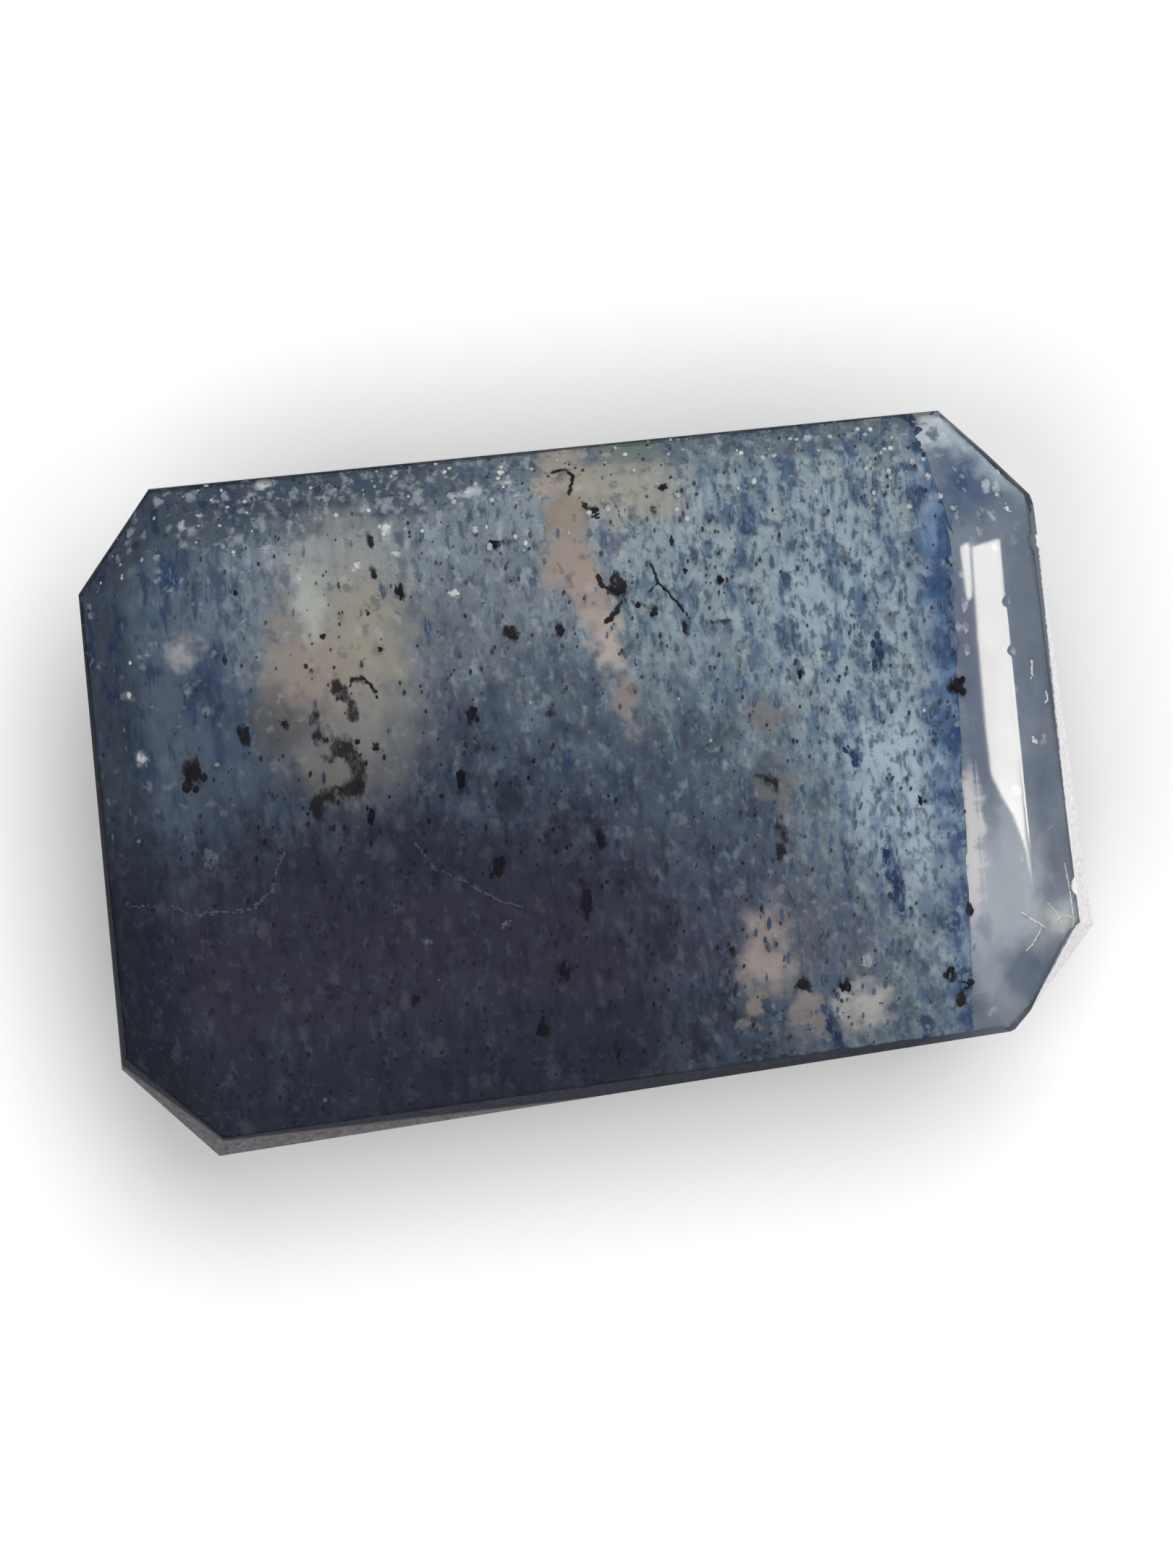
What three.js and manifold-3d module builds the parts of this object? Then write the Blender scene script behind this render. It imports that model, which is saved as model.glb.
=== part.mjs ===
// Lazulite in quartz: one clear quartz crowded with blue lazulite grains, cut and polished as an
// eight-sided step-cut stone. It lies on its small flat back with the table facing up.
// Millimetres, +Z up, long side along X. The origin is on the surface that the stone lies on,
// under the middle of its box.

import * as THREE from 'three';
import { mergeVertices } from 'three/addons/utils/BufferGeometryUtils.js';
import Module from 'manifold-3d';

// Driving dimensions: the heights of the table and of the edge between the crown's two steps.
const TABLE_HEIGHT = 7.95;
const CROWN_STEP = 7.4;

// The waist is the line where the stone is widest, the lower edge of its frosted girdle: its corners,
// clockwise from the upper left. The stone was cut by hand, so no two opposite sides are quite
// parallel and the waist isn't level: it dips where the girdle shows widest from above.
const WAIST = [
  [-9.61, 8.19, 6.4],
  [9.74, 7.74, 6.6],
  [11.77, 5.46, 6.55],
  [12.0, -5.18, 5.82],
  [9.79, -7.51, 6.6],
  [-9.89, -8.19, 5.87],
  [-12.0, -5.8, 5.95],
  [-11.63, 5.84, 6.25],
];

// The girdle and the crown, side by side from the corner of the same place in the list. The girdle's
// frosted face leans in from the waist at this slope in degrees. The foot is how far in from the
// waist the polished crown would start at the foot's height. The step is how far in the edge between
// the crown's two steps lies, at the side's first and at its last corner, and the table is how far
// in the table's edge lies.
const CROWN_FOOT = 6.6;
const CROWN = [
  { side: 'top', girdle: 75, foot: 0.02, step: [0.95, 0.8], table: [1.85, 1.65] },
  { side: 'top right corner', girdle: 75, foot: 0.02, step: [0.85, 1.2], table: [1.7, 2.15] },
  { side: 'right', girdle: 60, foot: 0.25, step: [0.9, 1.38], table: [1.9, 2.65] },
  { side: 'bottom right corner', girdle: 60, foot: 0.25, step: [1.25, 1.0], table: [2.3, 2.0] },
  { side: 'bottom', girdle: 60, foot: 0.1, step: [0.95, 1.57], table: [2.15, 2.77] },
  { side: 'bottom left corner', girdle: 60, foot: 0.42, step: [1.1, 1.1], table: [1.7, 1.7] },
  { side: 'left', girdle: 75, foot: 0.2, step: [0.98, 0.85], table: [1.72, 1.8] },
  { side: 'top left corner', girdle: 75, foot: 0.15, step: [0.9, 0.9], table: [1.75, 1.75] },
];

// The pavilion under the girdle: three steps, each flatter than the last, down to the flat back.
// Each ends at a height, and its run is how far it comes in on the way down.
const PAVILION = [
  { bottom: 3.9, run: 1.35 },
  { bottom: 1.75, run: 2.05 },
  { bottom: 0, run: 2.3 },
];

// Chips broken out of the edges: a point on the edge, the direction it faces, the radius of the
// shell-shaped break and how deep that bites.
const TABLE_EDGE = [0.3, 0, 1];
const STEP_EDGE = [0.6, 0, 1];
const GIRDLE_EDGE = [1, 0, 0.8];
const CHIPS = [
  { edge: [9.79, 3.7, 7.95], faces: TABLE_EDGE, radius: 0.7, bite: 0.03 },
  { edge: [9.76, 2.95, 7.95], faces: TABLE_EDGE, radius: 0.5, bite: 0.05 },
  { edge: [9.73, 2.4, 7.95], faces: TABLE_EDGE, radius: 0.4, bite: 0.04 },
  { edge: [9.7, 1.85, 7.95], faces: TABLE_EDGE, radius: 0.6, bite: 0.04 },
  { edge: [10.82, 2.9, 7.41], faces: STEP_EDGE, radius: 0.35, bite: 0.03 },
  { edge: [10.79, 1.7, 7.4], faces: STEP_EDGE, radius: 0.3, bite: 0.03 },
  { edge: [11.74, 4.3, 6.6], faces: GIRDLE_EDGE, radius: 0.6, bite: 0.08 },
  { edge: [11.67, -2.9, 6.57], faces: GIRDLE_EDGE, radius: 0.7, bite: 0.05 },
  { edge: [11.64, -4.2, 6.5], faces: GIRDLE_EDGE, radius: 0.9, bite: 0.07 },
];
const CHIP_DETAIL = 2;

// The block that the stone is ground from, and the block that takes off what is beyond a facet.
const ROUGH_LENGTH = 30;
const ROUGH_WIDTH = 22;
const LAP = 60;

const STONE = new THREE.MeshStandardMaterial({ color: 0x647890, roughness: 0.08, metalness: 0 });

const wasm = await Module();
wasm.setup();

// Turns a three.js geometry, placed by a matrix, into a closed solid that can be cut and joined.
function solidFrom(geometry, place) {
  const placed = geometry.clone().applyMatrix4(place);
  placed.deleteAttribute('normal');
  placed.deleteAttribute('uv');
  const merged = mergeVertices(placed);
  return new wasm.Manifold(
    new wasm.Mesh({
      numProp: 3,
      vertProperties: new Float32Array(merged.attributes.position.array),
      triVerts: new Uint32Array(merged.index.array),
    }),
  );
}

// Turns a closed solid back into a three.js geometry.
function geometryFrom(solid) {
  const mesh = solid.getMesh();
  const geometry = new THREE.BufferGeometry();
  geometry.setAttribute('position', new THREE.BufferAttribute(new Float32Array(mesh.vertProperties), 3));
  geometry.setIndex(new THREE.BufferAttribute(new Uint32Array(mesh.triVerts), 1));
  geometry.computeVertexNormals();
  return geometry;
}

// The line along one side, in from the waist by a distance for each end and at a height for each.
function lineAlong(index, insets, heights) {
  const start = new THREE.Vector3(...WAIST[index]).setZ(heights[0]);
  const end = new THREE.Vector3(...WAIST[(index + 1) % WAIST.length]).setZ(heights[1]);
  const along = end.clone().sub(start).setZ(0).normalize();
  const inward = new THREE.Vector3(along.y, -along.x, 0);
  return [start.addScaledVector(inward, insets[0]), end.addScaledVector(inward, insets[1])];
}

// Grinds one flat facet: the plane through a line and the middle of another one, off which all that
// is beyond the plane comes away. The stone's middle is on the side that stays.
function grind(stone, [start, end], [otherStart, otherEnd]) {
  const otherMiddle = otherStart.clone().lerp(otherEnd, 0.5);
  const plane = new THREE.Plane().setFromCoplanarPoints(start, end, otherMiddle);
  if (plane.distanceToPoint(new THREE.Vector3(0, 0, TABLE_HEIGHT / 2)) > 0) {
    plane.negate();
  }
  const turn = new THREE.Quaternion().setFromUnitVectors(new THREE.Vector3(0, 0, 1), plane.normal);
  const centre = start.clone().addScaledVector(plane.normal, LAP / 2);
  const place = new THREE.Matrix4().compose(centre, turn, new THREE.Vector3(1, 1, 1));
  return stone.subtract(solidFrom(new THREE.BoxGeometry(LAP, LAP, LAP), place));
}

// Both steps of the crown on one side. The inner step falls evenly from the table's edge, so where
// it is wider its lower edge lies lower; the outer step starts at that edge.
function grindCrown(stone, index) {
  const { foot, step, table } = CROWN[index];
  const widths = table.map((inset, end) => inset - step[end]);
  const fall = (2 * (TABLE_HEIGHT - CROWN_STEP)) / (widths[0] + widths[1]);
  const stepHeights = widths.map((width) => TABLE_HEIGHT - width * fall);
  const tableLine = lineAlong(index, table, [TABLE_HEIGHT, TABLE_HEIGHT]);
  const stepLine = lineAlong(index, step, stepHeights);
  const footLine = lineAlong(index, [foot, foot], [CROWN_FOOT, CROWN_FOOT]);
  return grind(grind(stone, tableLine, stepLine), stepLine, footLine);
}

// The girdle face and the three pavilion steps on one side, from the waist down to the flat back.
function grindGirdleAndPavilion(stone, index) {
  const heights = [WAIST[index][2], WAIST[(index + 1) % WAIST.length][2]];
  const waistLine = lineAlong(index, [0, 0], heights);
  const rise = Math.tan(THREE.MathUtils.degToRad(CROWN[index].girdle));
  const girdleLine = lineAlong(index, [1, 1], heights.map((height) => height + rise));
  let ground = grind(stone, waistLine, girdleLine);
  let upperLine = waistLine;
  let inset = 0;
  for (const { bottom, run } of PAVILION) {
    inset += run;
    const lowerLine = lineAlong(index, [inset, inset], [bottom, bottom]);
    ground = grind(ground, upperLine, lowerLine);
    upperLine = lowerLine;
  }
  return ground;
}

// Breaks one small shell-shaped chip out of an edge.
function chip(stone, { edge, faces, radius, bite }) {
  const outward = new THREE.Vector3(...faces).normalize();
  const centre = new THREE.Vector3(...edge).addScaledVector(outward, radius - bite);
  const place = new THREE.Matrix4().makeTranslation(centre);
  return stone.subtract(solidFrom(new THREE.IcosahedronGeometry(radius, CHIP_DETAIL), place));
}

function makeStone() {
  const place = new THREE.Matrix4().makeTranslation(0, 0, TABLE_HEIGHT / 2);
  let stone = solidFrom(new THREE.BoxGeometry(ROUGH_LENGTH, ROUGH_WIDTH, TABLE_HEIGHT), place);
  for (let index = 0; index < WAIST.length; index += 1) {
    stone = grindGirdleAndPavilion(stone, index);
    stone = grindCrown(stone, index);
  }
  for (const broken of CHIPS) {
    stone = chip(stone, broken);
  }
  return stone;
}

const object = new THREE.Group();
const cutStone = new THREE.Mesh(geometryFrom(makeStone()), STONE);
cutStone.name = 'cut_stone';
object.add(cutStone);

export default object;
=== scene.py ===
from bisect import bisect
from itertools import accumulate
from math import cos, hypot, radians, sin, sqrt
from random import Random

import bmesh
import bpy
from mathutils import Matrix, Vector, kdtree, noise


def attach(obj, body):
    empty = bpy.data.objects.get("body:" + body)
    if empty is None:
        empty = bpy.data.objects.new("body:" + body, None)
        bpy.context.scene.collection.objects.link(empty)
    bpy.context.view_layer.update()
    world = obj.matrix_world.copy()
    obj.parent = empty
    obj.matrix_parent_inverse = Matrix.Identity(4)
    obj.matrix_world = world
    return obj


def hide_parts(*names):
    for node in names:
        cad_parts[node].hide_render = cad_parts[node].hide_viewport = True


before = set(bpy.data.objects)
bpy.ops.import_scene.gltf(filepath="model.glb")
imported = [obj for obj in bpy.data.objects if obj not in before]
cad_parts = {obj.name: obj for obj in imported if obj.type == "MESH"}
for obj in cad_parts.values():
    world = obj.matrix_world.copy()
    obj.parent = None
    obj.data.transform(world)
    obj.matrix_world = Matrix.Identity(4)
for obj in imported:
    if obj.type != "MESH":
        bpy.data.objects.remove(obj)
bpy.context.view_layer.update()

# The quartz: one clear crystal with a faint smoky tinge, sawn from the rock and ground on a lap into
# flat facets. The facets are polished. The girdle round the waist was left as the wheel made it, matt
# and grey and almost white at the clear end. The edges are hardly rounded.
MM = 0.001
WELD = 0.002 * MM
FLAT_WITHIN = radians(0.3)
SMALLEST_FACET = 0.3 * MM * MM
EDGE_ROUNDING = 0.015 * MM
ROUNDED_FROM = radians(40)
SHORTEST_ROUNDED = 0.8 * MM
# How far up the girdle's faces look, and where along the stone the chips in it begin.
GIRDLE_LOOKS_UP = (0.1, 0.6)
GIRDLE_CHIPS_FROM = 11.2 * MM
# The upper edge of the girdle's frost: how much the height is tilted along the stone, and the heights
# in millimetres where the frost begins and where it is full.
FROST_ON_SIDES = (0.032, 6.25, 6.15)
FROST_AT_CORNER = (-0.2, 8.54, 8.44)
FROST_AT_END = (0.0, 6.54, 6.46)


def tint(red, green, blue, alpha=1.0):
    """A colour on the painter's scale from 0 to 255, as the linear values that a shader takes."""
    shares = [value / 255 for value in (red, green, blue)]
    linear = [s / 12.92 if s <= 0.04045 else ((s + 0.055) / 1.055) ** 2.4 for s in shares]
    return (*linear, alpha)


def new_material(name):
    """A material with an empty node tree and its output."""
    material = bpy.data.materials.new(name)
    material.use_nodes = True
    material.node_tree.nodes.clear()
    output = material.node_tree.nodes.new("ShaderNodeOutputMaterial")
    return material, material.node_tree, output


def add(tree, kind, inputs=(), **settings):
    """Adds a shader node; each input is given a value or another node's output."""
    made = tree.nodes.new("ShaderNode" + kind)
    for name, value in settings.items():
        setattr(made, name, value)
    for name, value in dict(inputs).items():
        if isinstance(value, bpy.types.NodeSocket):
            tree.links.new(value, made.inputs[name])
        else:
            made.inputs[name].default_value = value
    return made


def in_millimetres(tree):
    """The place on the stone, in millimetres."""
    place = add(tree, "TexCoord").outputs["Object"]
    return add(tree, "VectorMath", {0: place, "Scale": 1 / MM}, operation="SCALE").outputs[0]


def band(tree, value, low, high):
    """0 at the low value, 1 at the high one, and smooth between."""
    made = add(tree, "MapRange", {
        "Value": value, "From Min": low, "From Max": high,
    }, interpolation_type="SMOOTHSTEP")
    return made.outputs["Result"]


def number(tree, operation, *values):
    """The result of one step of arithmetic on numbers that change over the surface."""
    return add(tree, "Math", dict(enumerate(values)), operation=operation).outputs[0]


def ramp(tree, value, *stops):
    """The colour at a value between stops, each with its position and its colour."""
    made = add(tree, "ValToRGB", {0: value})
    while len(made.color_ramp.elements) < len(stops):
        made.color_ramp.elements.new(0.5)
    for element, (position, colour) in zip(made.color_ramp.elements, stops):
        element.position = position
        element.color = colour
    return made.outputs[0]


def lay_over(tree, below, colour, share, strength=1.0):
    """Lays a colour over another one where the share is high."""
    made = add(tree, "Mix", data_type="RGBA")
    share = number(tree, "MULTIPLY", share, strength)
    for socket, value in zip((made.inputs[0], made.inputs[6], made.inputs[7]), (share, below, colour)):
        if isinstance(value, bpy.types.NodeSocket):
            tree.links.new(value, socket)
        else:
            socket.default_value = value
    return made.outputs[2]


def make_piece(name, shape, *materials):
    """A named object at the origin, made from a bmesh that carries its place."""
    mesh = bpy.data.meshes.new(name)
    shape.to_mesh(mesh)
    shape.free()
    for material in materials:
        mesh.materials.append(material)
    piece = bpy.data.objects.new(name, mesh)
    bpy.context.scene.collection.objects.link(piece)
    return piece


def polished_quartz():
    """Clear and a little smoky. Shadow rays pass, so that what lies inside is lit."""
    material, tree, output = new_material("polished_quartz")
    quartz = add(tree, "BsdfPrincipled", {
        "Base Color": tint(252, 252, 252),
        "Roughness": 0.01,
        "IOR": 1.544,
        "Transmission Weight": 1.0,
    })
    for_shadows = add(tree, "BsdfTransparent", {"Color": tint(214, 214, 214)})
    is_shadow = add(tree, "LightPath").outputs["Is Shadow Ray"]
    surface = add(tree, "MixShader", {0: is_shadow, 1: quartz.outputs[0], 2: for_shadows.outputs[0]})
    smoky = add(tree, "VolumeAbsorption", {"Color": tint(192, 188, 196), "Density": 60.0})
    tree.links.new(surface.outputs[0], output.inputs["Surface"])
    tree.links.new(smoky.outputs[0], output.inputs["Volume"])
    return material


def frosted_quartz():
    """Ground matt: grey along the sides and white at the clear end."""
    material, tree, output = new_material("frosted_girdle")
    place = in_millimetres(tree)
    grit = add(tree, "TexNoise", {"Vector": place, "Scale": 8.0, "Detail": 3.0, "Roughness": 0.6})
    across, _, height = add(tree, "SeparateXYZ", {0: place}).outputs
    clear_end = band(tree, across, 7.0, 10.5)

    # Under the crown it looks like the stone inside, and the frost shows along the waist alone.
    inside = ramp(tree, grit.outputs[0], (0.3, tint(40, 42, 52)), (0.7, tint(62, 66, 78)))
    inside = lay_over(tree, inside, tint(106, 114, 128), clear_end)
    grey = ramp(tree, grit.outputs[0], (0.3, tint(84, 82, 88)), (0.7, tint(130, 124, 128)))
    white = ramp(tree, grit.outputs[0], (0.3, tint(226, 224, 225)), (0.7, tint(252, 250, 249)))
    fringe = number(tree, "MULTIPLY_ADD", grit.outputs[0], 0.2, -0.1)
    worn = number(tree, "ADD", height, fringe)
    low_on_sides, low_at_corner, low_at_end = (
        band(tree, number(tree, "MULTIPLY_ADD", across, tilt, worn), begins, full)
        for tilt, begins, full in (FROST_ON_SIDES, FROST_AT_CORNER, FROST_AT_END)
    )
    shade = lay_over(tree, inside, grey, number(tree, "MULTIPLY", low_on_sides, low_at_corner))
    shade = lay_over(tree, shade, white, number(tree, "MULTIPLY", low_at_end, clear_end))
    bump = add(tree, "Bump", {"Height": grit.outputs[0], "Strength": 0.15, "Distance": 0.02 * MM})
    ground = add(tree, "BsdfPrincipled", {
        "Base Color": shade,
        "Roughness": 0.65,
        "IOR": 1.544,
        "Normal": bump.outputs[0],
    })
    tree.links.new(ground.outputs[0], output.inputs["Surface"])
    return material


def is_frosted(face):
    """The girdle's faces, and the chips that are broken out of it at the clear end."""
    in_chip = face.calc_area() < SMALLEST_FACET and face.calc_center_median().x > GIRDLE_CHIPS_FROM
    return GIRDLE_LOOKS_UP[0] < face.normal.z < GIRDLE_LOOKS_UP[1] or in_chip


quartz_shape = bmesh.new()
quartz_shape.from_mesh(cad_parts["cut_stone"].data)
bmesh.ops.remove_doubles(quartz_shape, verts=quartz_shape.verts, dist=WELD)
bmesh.ops.dissolve_limit(
    quartz_shape, angle_limit=FLAT_WITHIN, verts=quartz_shape.verts, edges=quartz_shape.edges
)
facets = [
    (face.normal.copy(), face.verts[0].co.copy())
    for face in quartz_shape.faces
    if face.calc_area() > SMALLEST_FACET
]
for face in quartz_shape.faces:
    face.material_index = 1 if is_frosted(face) else 0
sharp = [
    edge
    for edge in quartz_shape.edges
    if edge.calc_length() > SHORTEST_ROUNDED and edge.calc_face_angle(0.0) > ROUNDED_FROM
]
bmesh.ops.bevel(
    quartz_shape, geom=sharp, offset=EDGE_ROUNDING, affect="EDGES", segments=2, profile=0.5, material=-1
)
quartz = make_piece("quartz_stone", quartz_shape, polished_quartz(), frosted_quartz())
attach(quartz, "root")
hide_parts("cut_stone")

# The part of the crystal that is crowded with lazulite: countless blue grains too small to tell apart
# fill it right up to the facets, and it ends on the right in a sharp plane, past which the crystal
# grew on without them. Beige patches, darker and paler parts and blue streaks lie in it.
TABLE_COVER = 0.45 * MM
SIDE_COVER = 0.07 * MM
END_PLANE = [(9.66, 4.54), (8.84, -6.97)]
END_PLANE_TOP = [(9.2, 7.14), (9.66, 4.54)]
ROUGH = 60 * MM
CUT_TOLERANCE = 1e-8
SKIN_MESH = 0.16 * MM
SKIN_LUMPS = 0.03 * MM
LUMP_SPACING = 0.9 * MM


def cut_away(shape, point, outward):
    """Takes off what lies beyond a plane and closes the cut."""
    everything = shape.verts[:] + shape.edges[:] + shape.faces[:]
    cut = bmesh.ops.bisect_plane(
        shape, geom=everything, dist=CUT_TOLERANCE, plane_co=point, plane_no=outward, clear_outer=True
    )
    rim = [item for item in cut["geom_cut"] if isinstance(item, bmesh.types.BMEdge)]
    if rim:
        bmesh.ops.holes_fill(shape, edges=rim, sides=0)


def is_table(normal):
    """The table is the one facet that looks straight up."""
    return normal.z > 0.99


def cover_over(normal):
    """How much clear quartz lies over the crowded part, under a facet with this normal."""
    return TABLE_COVER if is_table(normal) else SIDE_COVER


def end_plane(ends):
    """A point on an upright plane through two places in plan, and the direction that it faces."""
    start, end = (Vector((x, y, 0)) * MM for x, y in ends)
    along = (end - start).normalized()
    return start, Vector((-along.y, along.x, 0))


def remeshed(shape, voxel):
    """The same form with an even net of small faces."""
    block = make_piece("block", shape)
    remesh = block.modifiers.new("even_net", "REMESH")
    remesh.mode = "VOXEL"
    remesh.voxel_size = voxel
    netted = bmesh.new()
    netted.from_object(block, bpy.context.evaluated_depsgraph_get())
    bpy.data.objects.remove(block)
    return netted


def block_under(cover, *ends):
    """A block that fills the stone up to a cover under each facet, and is cut off at some planes."""
    block = bmesh.new()
    bmesh.ops.create_cube(block, size=ROUGH)
    for outward, point in facets:
        cut_away(block, point - outward * cover(outward), outward)
    for point, outward in ends:
        cut_away(block, point, outward)
    netted = remeshed(block, SKIN_MESH)
    bmesh.ops.triangulate(netted, faces=netted.faces)
    netted.normal_update()
    return netted


crowded_shape = block_under(cover_over, end_plane(END_PLANE), end_plane(END_PLANE_TOP))
for vertex in crowded_shape.verts:
    lumps = noise.fractal(vertex.co / LUMP_SPACING, 1.0, 2.0, 3)
    vertex.co += vertex.normal * lumps * SKIN_LUMPS
crowded_shape.normal_update()

GROWTH_TURN = radians(-4.07)
# The dark part is an oval in plan, darkest within the first share of its size and gone at the second.
DARK_CENTRE = (-5.0, -6.0, 0.0)
DARK_SIZE = (8.5, 7.2, 1.0)
DARK_FADE = (0.66, 1.72)
# How an edge wanders: the scale and the detail of the noise that shifts it.
RAGGED = (1.9, 4.0)
GRAINY = (5.0, 2.0)
# Each patch: its middle, its half width and half length, its turn, its softness, its colour and how
# strongly that covers what is below. The broad ones lie under the streaks, the others over them.
BROAD_PATCHES = [
    ((-1.9, 5.0), (2.3, 2.2), 0, 0.5, tint(110, 115, 122), 0.55),
    ((5.2, -5.2), (1.6, 1.5), 0, 0.5, tint(102, 105, 111), 0.6),
    ((-7.5, 4.8), (1.0, 1.5), 0, 0.5, tint(112, 126, 140), 0.6),
    ((-8.5, 2.6), (0.9, 1.3), 0, 0.5, tint(64, 80, 102), 0.5),
    ((7.6, -1.3), (1.1, 2.3), 0, 0.6, tint(166, 184, 196), 0.8),
    ((6.8, 3.4), (1.3, 2.2), 0, 0.6, tint(154, 172, 184), 0.7),
    ((3.2, 3.6), (0.9, 1.3), 0, 0.6, tint(138, 152, 161), 0.5),
    ((-11.5, -3.5), (1.3, 3.2), 0, 0.6, tint(30, 36, 48), 0.6),
]
PATCHES = [
    ((-5.4, 3.4), (1.8, 3.0), 0, 0.5, tint(132, 131, 127), 0.75),
    ((-4.9, 6.1), (1.2, 0.9), 0, 0.6, tint(142, 147, 147), 0.5),
    ((-5.9, 3.4), (1.3, 1.2), -20, 0.6, tint(146, 135, 126), 0.8),
    ((-4.7, 4.1), (0.8, 1.5), 0, 0.7, tint(150, 147, 134), 0.75),
    ((-6.0, 5.0), (0.35, 0.9), 0, 0.8, tint(172, 176, 168), 0.8),
    ((-5.9, 0.85), (0.7, 0.8), 0, 0.35, tint(112, 110, 105), 0.7),
    ((-7.0, 2.1), (0.8, 0.7), 0, 0.5, tint(84, 82, 84), 0.7),
    ((0.5, 7.1), (0.6, 1.1), 0, 0.4, tint(162, 152, 141), 0.85),
    ((0.4, 6.3), (0.45, 0.5), 0, 0.6, tint(132, 120, 113), 0.85),
    ((0.35, 5.2), (0.55, 1.0), 0, 0.5, tint(152, 140, 130), 0.9),
    ((0.75, 4.2), (0.5, 1.1), -15, 0.5, tint(158, 145, 135), 0.9),
    ((1.05, 3.1), (0.3, 0.5), 0, 0.7, tint(180, 168, 160), 0.9),
    ((1.3, 1.6), (0.3, 0.7), 0, 0.6, tint(142, 132, 127), 0.85),
    ((1.9, 6.7), (1.4, 0.8), 10, 0.6, tint(156, 152, 140), 0.8),
    ((1.45, 5.5), (0.3, 0.4), 0, 0.4, tint(96, 98, 120), 0.8),
    ((2.2, 7.7), (0.6, 0.35), 0, 0.4, tint(112, 126, 116), 0.7),
    ((4.0, -4.7), (0.55, 0.9), 0, 0.6, tint(154, 144, 138), 0.9),
    ((3.5, -6.1), (0.3, 0.4), 0, 0.4, tint(134, 127, 117), 0.8),
    ((4.85, -6.4), (0.4, 0.6), 0, 0.4, tint(136, 128, 126), 0.8),
    ((6.15, -6.45), (0.6, 0.6), 0, 0.6, tint(172, 168, 166), 0.95),
    ((-9.3, 4.25), (0.35, 0.35), 0, 0.7, tint(154, 153, 156), 0.9),
    ((-0.05, 1.15), (0.5, 0.28), 35, 0.5, tint(58, 66, 80), 0.75),
    ((4.75, 0.95), (0.45, 0.5), 0, 0.5, tint(118, 112, 111), 0.7),
    ((4.75, -0.9), (0.4, 0.75), 0, 0.4, tint(112, 107, 105), 0.6),
    ((-10.6, 7.0), (0.3, 0.3), 0, 0.4, tint(120, 117, 126), 0.7),
]


def effect_group(name, numbers=(), vectors=("Place",)):
    """An empty shader node group that puts out a mask; gives the group, its inputs and its result."""
    group = bpy.data.node_groups.new(name, "ShaderNodeTree")
    for socket in vectors:
        group.interface.new_socket(socket, in_out="INPUT", socket_type="NodeSocketVector")
    for socket in numbers:
        group.interface.new_socket(socket, in_out="INPUT", socket_type="NodeSocketFloat")
    group.interface.new_socket("Mask", in_out="OUTPUT", socket_type="NodeSocketFloat")
    given = group.nodes.new("NodeGroupInput").outputs
    return group, given, group.nodes.new("NodeGroupOutput").inputs[0]


def vector_math(tree, operation, *values):
    """The same for vectors: a number for a length or a dot product, or else a vector."""
    made = add(tree, "VectorMath", dict(enumerate(values)), operation=operation)
    return made.outputs["Value" if operation in ("LENGTH", "DOT_PRODUCT") else "Vector"]


def displaced(tree, place, noise_scale, detail, reach):
    """The place, shifted this way and that by a noise, so that edges drawn from it run ragged."""
    wander = add(tree, "TexNoise", {"Vector": place, "Scale": noise_scale, "Detail": detail})
    centred = vector_math(tree, "SUBTRACT", wander.outputs["Color"], (0.5, 0.5, 0.5))
    return vector_math(tree, "MULTIPLY_ADD", centred, (reach, reach, reach), place)


def soft_patch_group():
    """A soft-edged oval in plan: 1 in its middle and 0 beyond its edge."""
    group, given, result = effect_group("soft_patch", ("Turn", "Softness"), ("Place", "Centre", "Size"))
    offset = vector_math(group, "SUBTRACT", given["Place"], given["Centre"])
    turned = add(group, "VectorRotate", {"Vector": offset, "Angle": given["Turn"]}, rotation_type="Z_AXIS")
    flat = vector_math(group, "MULTIPLY", turned.outputs[0], (1.0, 1.0, 0.0))
    reach = vector_math(group, "LENGTH", vector_math(group, "DIVIDE", flat, given["Size"]))
    inner = number(group, "SUBTRACT", 1.0, given["Softness"])
    outer = number(group, "ADD", 1.0, given["Softness"])
    group.links.new(band(group, reach, outer, inner), result)
    return group


def speckle_group():
    """Scattered soft spots of uneven size: a share of the cells of a Voronoi pattern has one each."""
    group, given, result = effect_group("speckle", ("Spots per mm", "Share", "Size", "Softness"))
    cells = add(group, "TexVoronoi", {"Vector": given["Place"], "Scale": given["Spots per mm"]})
    chance = add(group, "SeparateColor", {0: cells.outputs["Color"]})
    chosen = number(group, "LESS_THAN", chance.outputs[0], given["Share"])
    size = number(group, "MULTIPLY", chance.outputs[1], given["Size"])
    margin = number(group, "SUBTRACT", size, cells.outputs["Distance"])
    outside = number(group, "MULTIPLY", given["Softness"], -1.0)
    spot = band(group, margin, outside, given["Softness"])
    group.links.new(number(group, "MULTIPLY", spot, chosen), result)
    return group


def crowding_and_shade_group():
    """How thick the lazulite lies, with painted shade: near 1 in the lower left, which is painted as shaded
    from the light that comes in at the upper right.
    """
    group, given, result = effect_group("crowding_and_shade")
    wandering = displaced(group, given["Place"], 0.5, 3.0, 3.0)
    offset = vector_math(group, "SUBTRACT", wandering, DARK_CENTRE)
    flat = vector_math(group, "MULTIPLY", offset, (1.0, 1.0, 0.0))
    reach = vector_math(group, "LENGTH", vector_math(group, "DIVIDE", flat, DARK_SIZE))
    dark_within, gone_at = DARK_FADE
    thick = add(group, "MapRange", {"Value": reach, "From Min": gone_at, "From Max": dark_within})
    group.links.new(thick.outputs["Result"], result)
    return group


soft_patch = soft_patch_group()
speckle = speckle_group()
crowding_and_shade = crowding_and_shade_group()


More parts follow.
